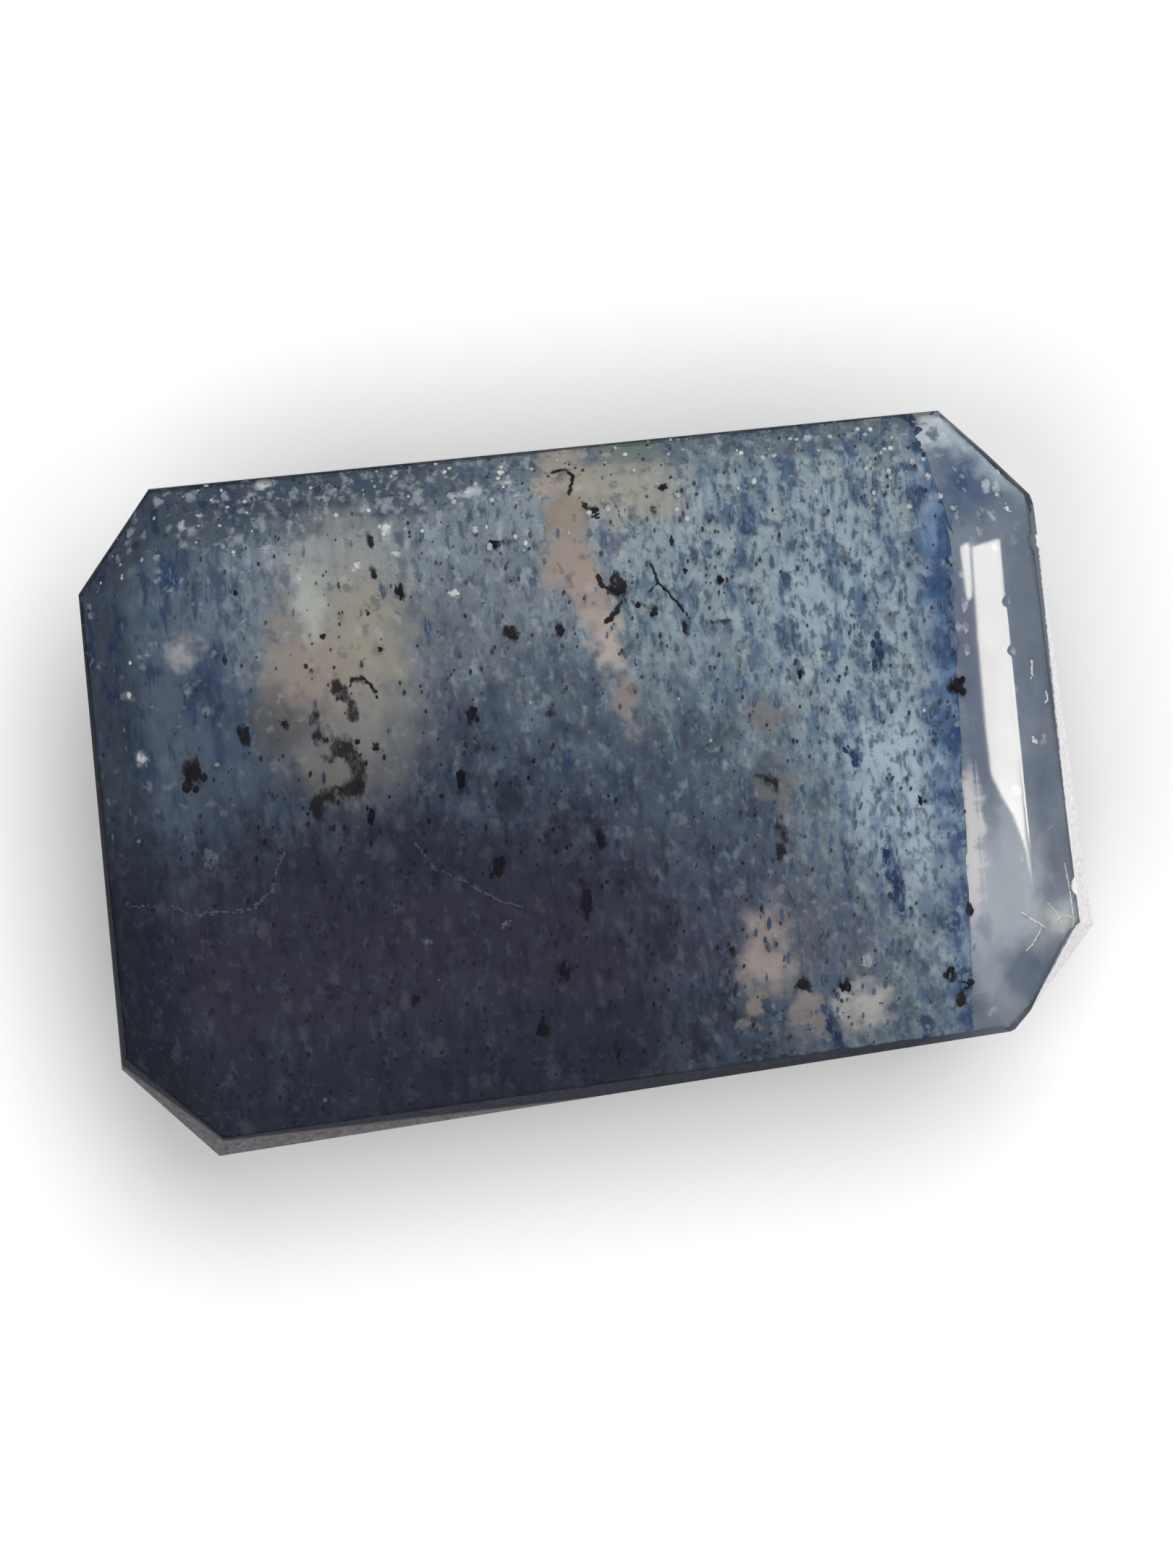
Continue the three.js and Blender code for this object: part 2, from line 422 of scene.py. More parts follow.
def effect(tree, group, **values):
    """Places an effect in a material with its own values; an underscore stands for a space."""
    made = add(tree, "Group", node_tree=group)
    for name, value in values.items():
        socket = made.inputs[name.replace("_", " ")]
        if isinstance(value, bpy.types.NodeSocket):
            tree.links.new(value, socket)
        else:
            socket.default_value = value
    return made.outputs[0]


def drawn_out(tree, place, stretch):
    """The place, so that a pattern laid on it comes out drawn out nearly along the growth."""
    made = add(tree, "Mapping", {
        "Vector": place,
        "Rotation": (0.0, 0.0, -GROWTH_TURN),
        "Scale": (1.0, 1 / stretch, 1 / stretch),
    })
    return made.outputs[0]


def patched(tree, place, colour, patches):
    """Lays soft patches over a colour."""
    for centre, size, turn, softness, patch_colour, strength in patches:
        mask = effect(
            tree, soft_patch,
            Place=place, Centre=(*centre, 0.0), Size=(*size, 1.0), Turn=radians(turn), Softness=softness,
        )
        colour = lay_over(tree, colour, patch_colour, mask, strength)
    return colour


def speckled(tree, place, colour, layers):
    """Lays scattered spots over a colour, each layer where its own mask is high."""
    for stretch, per_mm, share, size, spot_colour, where, strength in layers:
        drawn = drawn_out(tree, place, stretch)
        spots = effect(
            tree, speckle, Place=drawn, Spots_per_mm=per_mm, Share=share, Size=size, Softness=0.22
        )
        colour = lay_over(tree, colour, spot_colour, number(tree, "MULTIPLY", spots, where), strength)
    return colour


def matt(tree, output, colour):
    """A surface with no gloss: the grains are wetted by the quartz round them."""
    surface = add(tree, "BsdfPrincipled", {
        "Base Color": colour, "Roughness": 0.7, "Specular IOR Level": 0.0,
    })
    tree.links.new(surface.outputs[0], output.inputs["Surface"])


def inside_stone(piece):
    """A piece that is grown into the quartz and moves with it."""
    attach(piece, "root")


def clouded(tree, place, crowd_and_shade):
    """The ground colour: palest where the lazulite lies thinnest and the light is painted as coming in,
    darker with painted shade towards the lower left, and cloudy.
    """
    clouds = add(tree, "TexNoise", {
        "Vector": drawn_out(tree, place, 1.8), "Scale": 1.2, "Detail": 6.0, "Roughness": 0.7,
    })
    centred = number(tree, "SUBTRACT", clouds.outputs[0], 0.5)
    return ramp(
        tree, number(tree, "MULTIPLY_ADD", centred, 1.3, crowd_and_shade),
        (0.0, tint(142, 156, 163)), (0.12, tint(130, 144, 152)), (0.26, tint(112, 125, 134)),
        (0.43, tint(90, 100, 112)), (0.59, tint(73, 83, 97)), (0.8, tint(58, 65, 79)),
        (0.88, tint(51, 55, 68)), (1.0, tint(46, 50, 62)),
    )


def streaks(tree, place, stretch, scale):
    """A fine noise that is drawn out along the growth."""
    made = add(tree, "TexNoise", {
        "Vector": drawn_out(tree, place, stretch), "Scale": scale, "Detail": 3.0, "Roughness": 0.6,
    })
    return made.outputs[0]


def streaked(tree, place, colour, layers):
    """Lays soft streaks over a colour, each layer where its own mask is high."""
    for stretch, scale, low, high, streak_colour, where, strength in layers:
        streaky = band(tree, streaks(tree, place, stretch, scale), low, high)
        streaky = number(tree, "MULTIPLY", streaky, where)
        colour = lay_over(tree, colour, streak_colour, streaky, strength)
    return colour


def bluer_beside_end(tree, place, ragged, along, colour):
    """A blotchy blue band beside the end plane, weaker towards the bottom, with a navy edge."""
    start, outward = end_plane(END_PLANE)
    beyond = vector_math(tree, "DOT_PRODUCT", ragged, tuple(outward))
    inside_end = number(tree, "SUBTRACT", start.dot(outward) / MM, beyond)
    blotches = add(tree, "TexNoise", {
        "Vector": drawn_out(tree, place, 1.8), "Scale": 2.6, "Detail": 4.0,
    }).outputs[0]
    blue = ramp(tree, blotches, (0.4, tint(58, 86, 126)), (0.6, tint(100, 128, 160)))
    bluest_above = number(tree, "MULTIPLY_ADD", band(tree, along, -4.0, 1.5), 0.45, 0.4)
    near_end = number(tree, "MULTIPLY", band(tree, inside_end, 1.15, 0.35), bluest_above)
    colour = lay_over(tree, colour, blue, near_end)
    in_blotches = band(tree, blotches, 0.62, 0.45)
    at_edge = number(tree, "MULTIPLY", band(tree, inside_end, 0.5, 0.15), in_blotches)
    return lay_over(tree, colour, tint(42, 64, 104), at_edge, 0.65)


def stained(tree, colour, thin_and_lit, crumbs):
    """Crumbly stains round the marks, and a painted pale glow round the glinting flakes; the marks are made
    further on and leave these attributes.
    """
    crumbly = number(tree, "MULTIPLY_ADD", crumbs, 2.2, -1.1)
    for name, stain_colour, strength in (
        ("pale_glint_halo", tint(178, 184, 188), number(tree, "MULTIPLY_ADD", thin_and_lit, 0.75, 0.1)),
        ("blue_stain", tint(44, 60, 92), 0.8),
        ("dark_stain", tint(34, 33, 36), 0.95),
    ):
        near_mark = add(tree, "Attribute", attribute_name=name).outputs["Fac"]
        crumbled = number(tree, "ADD", near_mark, crumbly)
        colour = lay_over(tree, colour, stain_colour, band(tree, crumbled, 0.4, 1.08), strength)
    return colour


def crowded_quartz():
    """Palest at the top and on the right, darkest in the lower left, bluest at the end plane."""
    material, tree, output = new_material("lazulite_crowded_quartz")
    place = in_millimetres(tree)
    ragged = displaced(tree, place, *RAGGED, 1.5)
    grainy = displaced(tree, place, *GRAINY, 0.35)
    across, along, _ = add(tree, "SeparateXYZ", {0: ragged}).outputs

    # Masks for where the lazulite lies thick or thin, which carry painted shade too, and for some regions of
    # the stone.
    crowd_and_shade = effect(tree, crowding_and_shade, Place=place)
    thin_and_lit = number(tree, "SUBTRACT", 1.0, crowd_and_shade)
    to_the_right = number(tree, "MULTIPLY", band(tree, across, -5.0, 6.0), thin_and_lit)
    off_the_left = number(tree, "MULTIPLY", band(tree, across, -9.5, -6.5), thin_and_lit)
    upper_left = number(tree, "MULTIPLY", band(tree, across, -5.8, -9.0), band(tree, along, -1.0, 3.0))
    top_left = number(tree, "MULTIPLY", band(tree, across, -0.5, -4.0), band(tree, along, 5.6, 7.2))

    colour = clouded(tree, place, crowd_and_shade)
    colour = lay_over(tree, colour, tint(78, 91, 106), upper_left, 0.85)
    colour = lay_over(tree, colour, tint(70, 79, 90), top_left, 0.85)
    colour = lay_over(tree, colour, tint(66, 76, 90), band(tree, along, 6.5, 7.5), 0.6)
    # Painted shade: the crown's left facets are darkened.
    colour = lay_over(tree, colour, tint(30, 35, 46), band(tree, across, -9.8, -10.8), 0.55)
    colour = patched(tree, ragged, colour, BROAD_PATCHES)

    colour = streaked(tree, place, colour, (
        (4.0, 3.0, 0.5, 0.62, tint(38, 52, 84), upper_left, 0.75),
        (2.8, 2.4, 0.48, 0.68, tint(70, 94, 124), to_the_right, 0.85),
        (2.2, 5.0, 0.5, 0.64, tint(68, 84, 106), thin_and_lit, 0.8),
        (1.6, 3.6, 0.52, 0.68, tint(166, 176, 180), off_the_left, 0.55),
        (3.0, 2.8, 0.5, 0.66, tint(36, 40, 56), crowd_and_shade, 0.6),
    ))
    crumbs = streaks(tree, place, 1.5, 4.5)
    in_the_dark = number(tree, "MULTIPLY", band(tree, crumbs, 0.56, 0.7), crowd_and_shade)
    colour = lay_over(tree, colour, tint(72, 78, 92), in_the_dark, 0.45)
    colour = bluer_beside_end(tree, place, ragged, along, colour)

    colour = speckled(tree, grainy, colour, (
        (2.6, 2.0, 0.35, 0.42, tint(74, 94, 122), to_the_right, 0.6),
        (1.3, 6.0, 0.4, 0.45, tint(62, 70, 84), thin_and_lit, 0.6),
        # The pale speckles in the top left are painted glints, like the pale flakes.
        (1.2, 3.4, 0.5, 0.45, tint(158, 165, 170), top_left, 0.7),
        (1.2, 4.0, 0.4, 0.46, tint(42, 48, 58), top_left, 0.7),
        (1.5, 2.5, 0.4, 0.45, tint(76, 79, 86), crowd_and_shade, 0.5),
        (1.5, 4.0, 0.4, 0.45, tint(32, 35, 46), crowd_and_shade, 0.6),
    ))
    colour = patched(tree, ragged, colour, PATCHES)
    colour = speckled(tree, grainy, colour, (
        (1.6, 3.0, 0.45, 0.45, tint(58, 68, 82), thin_and_lit, 0.55),
        (1.2, 5.0, 0.35, 0.45, tint(76, 80, 84), thin_and_lit, 0.5),
        (1.0, 4.0, 0.2, 0.45, tint(172, 176, 176), thin_and_lit, 0.45),
    ))
    matt(tree, output, stained(tree, colour, thin_and_lit, crumbs))
    return material


skin = [
    ([vertex.co.copy() for vertex in face.verts], face.normal.copy(), face.calc_area())
    for face in crowded_shape.faces
]
crowded = make_piece("lazulite_crowded_quartz", crowded_shape, crowded_quartz())
inside_stone(crowded)

# Past the end plane the crystal is only milky, with tiny bubbles and cracks: smooth and greyish, whiter
# towards the bottom, and mottled with navy and white in the upper right corner. Its grey is partly painted
# light, for the light that comes through the clear quartz of that end. Against the end plane stands a
# frosty pinkish sheet. The milky block starts inside the blue one, which hides that end of it.
END_BLOCK_TABLE_COVER = 0.6 * MM
END_BLOCK_COVER = 0.09 * MM
END_BLOCK_START = 0.9 * MM
END_BLOCK_PATCHES = [
    ((9.9, -4.4), (1.0, 2.4), 0, 0.5, tint(172, 177, 183), 0.8),
    ((10.5, -6.3), (1.2, 0.7), 45, 0.5, tint(94, 106, 124), 0.8),
    ((9.75, 0.8), (0.3, 3.2), 0, 0.5, tint(98, 107, 124), 0.8),
    ((11.0, 3.6), (0.9, 2.4), 0, 0.6, tint(98, 109, 124), 0.4),
    ((9.6, 7.3), (0.9, 0.35), 0, 0.5, tint(192, 200, 204), 0.9),
    ((10.6, 6.5), (0.3, 1.3), -45, 0.6, tint(170, 182, 190), 0.85),
    ((10.1, 5.9), (0.6, 0.7), 0, 0.6, tint(72, 90, 118), 0.8),
    ((11.25, -4.95), (0.3, 0.4), 0, 0.8, tint(200, 203, 200), 0.8),
    ((9.6, 5.3), (0.5, 0.4), 0, 0.5, tint(92, 110, 132), 0.7),
    ((9.2, -2.9), (0.26, 1.8), 5, 0.35, tint(200, 198, 197), 0.9),
]


def milky_and_lit_quartz():
    """Cloudy grey with soft patches, partly painted light, and speckles of navy and white in the corner."""
    material, tree, output = new_material("milky_and_lit_quartz")
    place = in_millimetres(tree)
    ragged = displaced(tree, place, *RAGGED, 0.9)
    grainy = displaced(tree, place, *GRAINY, 0.35)
    clouds = add(tree, "TexNoise", {
        "Vector": drawn_out(tree, place, 1.5), "Scale": 0.8, "Detail": 6.0, "Roughness": 0.6,
    })
    colour = ramp(tree, clouds.outputs[0], (0.32, tint(104, 113, 128)), (0.68, tint(134, 143, 154)))
    colour = patched(tree, ragged, colour, END_BLOCK_PATCHES)
    along = add(tree, "SeparateXYZ", {0: ragged}).outputs[1]
    corner = band(tree, along, 3.5, 5.5)
    colour = speckled(tree, grainy, colour, (
        (1.4, 2.2, 0.5, 0.46, tint(62, 80, 108), corner, 0.8),
        (1.2, 3.6, 0.45, 0.45, tint(190, 198, 204), corner, 0.75),
        (1.6, 1.8, 0.35, 0.45, tint(92, 103, 122), 1.0, 0.45),
        (1.0, 3.2, 0.08, 0.4, tint(190, 195, 200), 1.0, 0.5),
    ))
    matt(tree, output, colour)
    return material


start, outward = end_plane(END_PLANE)
end_block_shape = block_under(
    lambda normal: END_BLOCK_TABLE_COVER if is_table(normal) else END_BLOCK_COVER,
    (start - outward * END_BLOCK_START, -outward),
)
inside_stone(make_piece("milky_and_lit_end", end_block_shape, milky_and_lit_quartz()))

# What can be seen one by one in it: lazulite grains drawn out along the growth, dark specks of a black
# mineral, and pale flakes, small fractures whose glint is painted as a pale colour, afloat in the clear
# quartz just over the crowded part. Those that stand out in the photograph have places of their own, and
# the rest are strewn.
GROWTH = Vector((-sin(GROWTH_TURN), cos(GROWTH_TURN), 0.0))
CLEARANCE = 0.01 * MM
LEAN = 0.15
FLATTENING = (0.6, 1.0)
BATCH = 100
# How far apart the strewn grains clump, how far up the clear cover they reach, and the share of them
# on the underside.
CLUMP_SPACING = 1.3 * MM
HIGHEST_IN_COVER = 0.8
ON_UNDERSIDE = 0.25
# A mark is one core and a scatter of small lumps, all sized by the mark.
MARK_CORE = 0.7
MARK_LUMPS = 7
MARK_SCATTER = 0.4
MARK_LUMP_SIZES = (0.25, 0.5)
# Middle, half width and half length of each.
DARK_SPOTS = [
    ((1.5, 4.4), (0.25, 0.35)), ((-1.25, 3.6), (0.18, 0.2)), ((-0.05, 3.5), (0.14, 0.2)),
    ((2.85, 6.65), (0.11, 0.11)), ((2.9, 5.35), (0.07, 0.16)), ((3.95, 4.3), (0.11, 0.12)),
    ((3.15, 4.6), (0.08, 0.08)), ((1.9, 3.9), (0.11, 0.11)), ((2.25, 3.7), (0.11, 0.18)),
    ((2.95, 3.2), (0.05, 0.18)), ((0.9, 6.4), (0.11, 0.1)), ((1.15, 6.25), (0.16, 0.11)),
    ((-1.35, 5.8), (0.15, 0.13)), ((-4.35, 6.2), (0.09, 0.16)), ((-4.4, 5.45), (0.09, 0.13)),
    ((-3.8, 4.95), (0.12, 0.25)), ((-2.45, 1.75), (0.16, 0.2)), ((-7.0, 2.1), (0.11, 0.12)),
    ((-8.0, 1.95), (0.14, 0.25)), ((-4.85, 1.25), (0.1, 0.12)), ((-5.3, 1.45), (0.08, 0.09)),
    ((-4.65, 4.5), (0.07, 0.08)), ((-4.45, 3.6), (0.08, 0.09)), ((-5.8, 4.1), (0.09, 0.08)),
    ((-6.3, 3.4), (0.08, 0.08)), ((-8.25, 3.8), (0.08, 0.12)), ((-7.8, 5.4), (0.07, 0.12)),
    ((-9.35, 1.15), (0.3, 0.35)), ((-5.15, -0.4), (0.11, 0.27)), ((-2.25, -2.05), (0.19, 0.32)),
    ((-2.9, 0.15), (0.15, 0.3)), ((0.3, -1.65), (0.12, 0.27)), ((-0.2, -3.0), (0.16, 0.53)),
    ((5.6, 1.8), (0.09, 0.21)), ((7.5, -1.05), (0.08, 0.11)), ((8.15, -1.65), (0.08, 0.16)),
    ((4.75, -5.7), (0.19, 0.23)), ((5.8, -5.85), (0.16, 0.21)), ((3.15, -4.7), (0.11, 0.14)),
    ((-1.65, -6.05), (0.16, 0.27)), ((0.1, -6.8), (0.12, 0.3)), ((-0.95, -4.7), (0.23, 0.2)),
    ((-4.65, -4.95), (0.14, 0.18)), ((9.4, 1.0), (0.2, 0.23)), ((8.35, -5.85), (0.15, 0.22)),
    ((8.8, -6.15), (0.15, 0.15)), ((8.55, -6.6), (0.16, 0.2)), ((9.0, -4.4), (0.11, 0.21)),
]
BLUE_STREAKS = [
    ((4.8, 5.65), (0.22, 0.4)), ((3.75, 5.1), (0.12, 0.23)), ((5.55, 4.05), (0.11, 0.27)),
    ((5.65, 3.45), (0.11, 0.2)), ((5.25, 2.75), (0.18, 0.27)), ((4.55, 3.0), (0.09, 0.23)),
    ((-4.2, 5.05), (0.07, 0.27)), ((-3.25, 4.0), (0.1, 0.4)), ((-9.25, 5.95), (0.12, 0.35)),
    ((-8.5, 5.85), (0.05, 0.53)), ((-8.45, 5.3), (0.07, 0.44)), ((7.2, 4.1), (0.12, 0.21)),
    ((7.5, 1.85), (0.14, 0.3)), ((7.35, 0.6), (0.09, 0.44)), ((6.7, 0.7), (0.19, 0.27)),
    ((6.8, -0.4), (0.11, 0.27)), ((6.2, -2.75), (0.14, 0.44)), ((7.25, -3.05), (0.18, 0.53)),
    ((7.35, -3.6), (0.19, 0.44)), ((3.85, -6.2), (0.16, 0.27)), ((5.4, -6.9), (0.14, 0.5)),
    ((7.65, -7.1), (0.21, 0.27)), ((8.5, -4.6), (0.23, 0.3)), ((8.7, 0.0), (0.14, 0.27)),
    ((9.45, 2.05), (0.18, 0.53)), ((9.5, 3.25), (0.14, 0.53)), ((9.0, -1.75), (0.12, 0.35)),
    ((8.7, -6.05), (0.23, 0.35)), ((8.85, 6.4), (0.23, 0.21)), ((8.9, 5.65), (0.14, 0.35)),
    ((-0.25, 0.55), (0.12, 0.53)), ((10.2, 6.2), (0.3, 0.5)),
]
PALE_FLECKS = [
    ((-6.25, 5.6), (0.11, 0.11)), ((-4.0, 6.45), (0.14, 0.21)), ((-4.75, 5.65), (0.16, 0.12)),
    ((-3.8, 5.85), (0.12, 0.11)), ((-6.95, 6.3), (0.12, 0.12)), ((-2.5, 4.75), (0.16, 0.12)),
    ((-1.8, 7.15), (0.2, 0.16)), ((-2.3, 7.05), (0.11, 0.11)), ((-1.05, 7.5), (0.11, 0.11)),
    ((-0.9, 7.25), (0.16, 0.12)), ((-0.7, 6.85), (0.2, 0.09)), ((-6.8, 7.9), (0.21, 0.11)),
    ((-7.25, 8.1), (0.09, 0.09)), ((-8.9, 7.2), (0.09, 0.09)), ((-8.45, 7.35), (0.08, 0.08)),
    ((9.3, 7.4), (0.18, 0.11)), ((9.75, 7.15), (0.21, 0.12)), ((9.25, 6.15), (0.1, 0.08)),
    ((9.75, 5.3), (0.12, 0.1)), ((9.5, 5.6), (0.08, 0.08)), ((11.0, 6.05), (0.08, 0.08)),
    ((11.1, 5.15), (0.1, 0.11)), ((10.9, 5.5), (0.08, 0.08)), ((6.5, 7.45), (0.12, 0.09)),
    ((-10.5, 1.65), (0.18, 0.18)), ((-9.2, -0.95), (0.18, 0.23)), ((-10.65, 3.25), (0.11, 0.12)),
    ((6.4, -5.3), (0.11, 0.18)), ((-2.25, -3.4), (0.11, 0.09)), ((-4.2, -3.6), (0.12, 0.12)),
]
skin_areas = list(accumulate(area for _, _, area in skin))


def somewhere_on_skin(rng):
    """A random place on the crowded part's surface, and the direction that it faces there."""
    corners, outward, _ = skin[bisect(skin_areas, rng.random() * skin_areas[-1])]
    low, high = sorted((rng.random(), rng.random()))
    return corners[0] * low + corners[1] * (high - low) + corners[2] * (1 - high), outward


def top_of_crowd(x, y):
    """The place on the crowded part's upper side over a place in plan."""
    plan = Vector((x, y, 0)) * MM
    heights = [
        (point - outward * cover_over(outward) - plan).dot(outward) / outward.z
        for outward, point in facets
        if outward.z > GIRDLE_LOOKS_UP[0]
    ]
    return plan + Vector((0, 0, min(heights)))


def lump(rng, place, along, width, length):
    """Stretches and turns a unit ball into a lump at a place, and moves that clear of every facet."""
    lean = Vector([rng.gauss(0, LEAN) for _ in range(3)])
    turn = Vector((0, 0, 1)).rotation_difference((along + lean).normalized()).to_matrix()
    shape = turn @ Matrix.Diagonal((width, width * rng.uniform(*FLATTENING), length))
    for outward, point in facets:
        reach = sqrt(sum(shape.col[axis].dot(outward) ** 2 for axis in range(3)))
        excess = (place - point).dot(outward) + reach + CLEARANCE
        if excess > 0:
            place = place - outward * excess
    return Matrix.Translation(place) @ shape.to_4x4()


def lumps_at(matrices):
    """One mesh of many small balls, each stretched and turned by its own matrix."""
    gathered = bmesh.new()
    for start in range(0, len(matrices), BATCH):
        batch = bmesh.new()
        for matrix in matrices[start:start + BATCH]:
            bmesh.ops.create_icosphere(batch, subdivisions=1, radius=1.0, matrix=matrix)
        mesh = bpy.data.meshes.new("batch")
        batch.to_mesh(mesh)
        batch.free()
        gathered.from_mesh(mesh)
        bpy.data.meshes.remove(mesh)
    return gathered


def step_up(value, low, high):
    """0 at the low value and 1 at the high one, even between and level beyond."""
    return min(max((value - low) / (high - low), 0.0), 1.0)


def share_on(outward):
    """Few grains on the underside, and none on the end plane."""
    if outward.x > 0.9:
        return 0.0
    return ON_UNDERSIDE if outward.z < -0.1 else 1.0


def strewn(rng, tries, chance, widths, stretches):
    """Lumps strewn over the crowded part, more of them where the chance is high."""
    lumps = []
    for _ in range(tries):
        place, outward = somewhere_on_skin(rng)
        clumped = 0.7 + 0.9 * noise.noise(place / CLUMP_SPACING)
        if rng.random() > chance(place / MM) * share_on(outward) * clumped:
            continue
        width = rng.uniform(*widths) * MM
        height = rng.uniform(0.0, HIGHEST_IN_COVER) * cover_over(outward)
        length = width * rng.uniform(*stretches)
        lumps.append(lump(rng, place + outward * height, GROWTH, width, length))
    return lumps


def marks(rng, places, size=1.0):
    """Each mark is one lump with a ragged clump of small ones round it."""
    lumps = []
    for (x, y), (half_width, half_length) in places:
        middle = top_of_crowd(x, y)
        core = (half_width * MARK_CORE * size * MM, half_length * MARK_CORE * size * MM)
        lumps.append(lump(rng, middle, GROWTH, *core))
        for _ in range(MARK_LUMPS):
            aside = rng.gauss(0, MARK_SCATTER) * half_width
            ahead = rng.gauss(0, MARK_SCATTER) * half_length
            width = half_width * rng.uniform(*MARK_LUMP_SIZES) * size * MM
            length = half_length * rng.uniform(*MARK_LUMP_SIZES) * size * MM
            lumps.append(lump(rng, middle + Vector((aside, ahead, 0)) * MM, GROWTH, width, length))
    return lumps


def speck_material(name, dark, light, in_the_dark):
    """Specks whose colour varies a little and is dimmed by painted shade where the lazulite lies thick."""
    material, tree, output = new_material(name)
    place = in_millimetres(tree)
    patchy = add(tree, "TexNoise", {"Vector": place, "Scale": 2.3, "Detail": 3.0})
    colour = ramp(tree, patchy.outputs[0], (0.35, dark), (0.65, light))
    colour = lay_over(tree, colour, in_the_dark, band(tree, effect(tree, crowding_and_shade, Place=place), 0.35, 0.8))
    matt(tree, output, colour)
    return material


def specks(name, lumps, material_name, *colours):
    """A piece of many lumps; its colours are the dark, the light and the one in the dark part."""
    inside_stone(make_piece(name, lumps_at(lumps), speck_material(material_name, *colours)))


def thick_to_the_right(at):
    """The chance of a lazulite grain at a place in millimetres."""
    return 0.06 + 0.55 * step_up(at.x, -1, 6)


def thick_at_the_top(at):
    """The chance of a pale flake at a place in millimetres."""
    return 0.01 + 0.4 * step_up(at.y, 5.0, 7.0)


rng = Random(11)
blue = strewn(rng, tries=9000, chance=thick_to_the_right, widths=(0.02, 0.06), stretches=(1.4, 4.0))
specks(
    "lazulite_grains", blue + marks(rng, BLUE_STREAKS, size=0.6),
    "lazulite_blue", tint(72, 92, 118), tint(104, 124, 146), tint(48, 54, 70),
)
dark = strewn(rng, tries=10000, chance=lambda at: 0.45, widths=(0.015, 0.05), stretches=(1.0, 2.0))
specks(
    "dark_specks", dark,
    "dark_mineral", tint(48, 50, 56), tint(84, 88, 94), tint(34, 37, 47),
)
# The pale flakes' white is a painted glint of small fractures that catch the light.
pale = strewn(rng, tries=8000, chance=thick_at_the_top, widths=(0.02, 0.08), stretches=(0.8, 1.5))
specks(
    "pale_flakes", pale + marks(rng, PALE_FLECKS, size=0.9),
    "pale_painted_glint", tint(142, 150, 156), tint(212, 214, 212), tint(88, 94, 106),
)

# Spots and threads of a brown-black mineral, smears of it that lie deeper and only stain what is over
# them, navy threads of lazulite, and thin pale cracks that the quartz healed. Threads and cracks are
# rows of overlapping lumps.
# How far from a mark's middle its stain is full and where it ends, in half sizes of the mark, and how
# much and how finely a noise shifts that.
STAIN_FULL = 0.7
STAIN_REACH = 1.7
STAIN_WANDER = 0.5
STAIN_NOISE = 4
# The lumps of a row: how wide they are for its half width, how long for their own, and how far they
# are lifted.
ROW_WIDTHS = (0.4, 1.1)
ROW_LENGTH = 1.6
ROW_LIFT = 0.3
# The half width of each line and its places in plan.
THREADS = [
    (0.07, [(1.05, 4.75), (1.05, 4.55), (1.15, 4.45), (1.5, 4.3)]),
    (0.07, [(1.5, 4.05), (1.35, 3.8), (1.1, 3.6)]),
    (0.04, [(2.35, 4.85), (2.45, 4.4), (2.2, 4.2)]),
    (0.04, [(2.45, 4.4), (2.65, 4.15), (2.95, 3.7), (3.1, 3.45)]),
    (0.05, [(0.25, 7.35), (0.55, 7.4), (0.7, 7.2), (0.65, 7.0), (0.55, 6.75)]),
    (0.05, [(-5.3, 2.8), (-5.2, 2.95), (-5.0, 3.0), (-4.8, 2.8), (-4.65, 2.5)]),
]
SMEARS = [
    (0.05, [(3.6, 3.3), (3.8, 3.35), (4.25, 3.15)]),
    (0.12, [(-5.65, 2.85), (-5.5, 2.6), (-5.35, 2.35), (-5.3, 2.1), (-5.25, 1.85)]),
    (0.12, [(-6.15, 2.2), (-6.25, 1.55)]),
    (0.16, [(-6.0, 1.2), (-5.75, 1.5), (-5.6, 1.3), (-5.45, 0.95), (-5.3, 0.8), (-5.45, 0.45), (-5.4, 0.2)]),
    (0.15, [(-6.4, -0.2), (-6.4, 0.2), (-6.05, 0.2), (-5.8, 0.3), (-5.5, 0.35)]),
    (0.08, [(4.2, -0.6), (4.35, -0.55), (4.8, -0.8), (4.6, -1.0)]),
    (0.07, [(4.15, -1.0), (4.15, -1.55)]),
    (0.11, [(4.55, -1.75), (4.75, -2.05), (4.7, -2.35), (4.45, -2.75)]),
    (0.1, [(-0.55, 1.6), (-0.3, 1.5)]),
]
NAVY_THREADS = [
    (0.08, [(7.55, 2.5), (7.55, 2.05), (7.45, 1.75)]),
    (0.08, [(6.5, -0.05), (6.65, -0.5), (6.8, -0.8)]),
    (0.08, [(7.1, -2.7), (7.25, -3.4), (7.25, -4.1)]),
    (0.08, [(5.25, -6.35), (5.35, -6.95), (5.65, -7.5)]),
    (0.08, [(8.85, 7.7), (9.2, 7.3), (9.1, 6.65)]),
]
HEALED_CRACKS = [
    (0.04, [(-11.8, -1.45), (-11.25, -1.85), (-10.7, -1.95)]),
    (0.05, [(-10.15, -2.0), (-9.75, -2.25), (-8.8, -2.3), (-8.25, -2.25), (-7.85, -1.95), (-7.4, -1.05)]),
    (0.04, [(-4.25, -1.1), (-3.8, -1.85), (-3.1, -2.25), (-2.3, -2.85), (-1.8, -3.05)]),
    (0.04, [(1.55, 6.7), (1.75, 6.0), (2.0, 5.6)]),
]


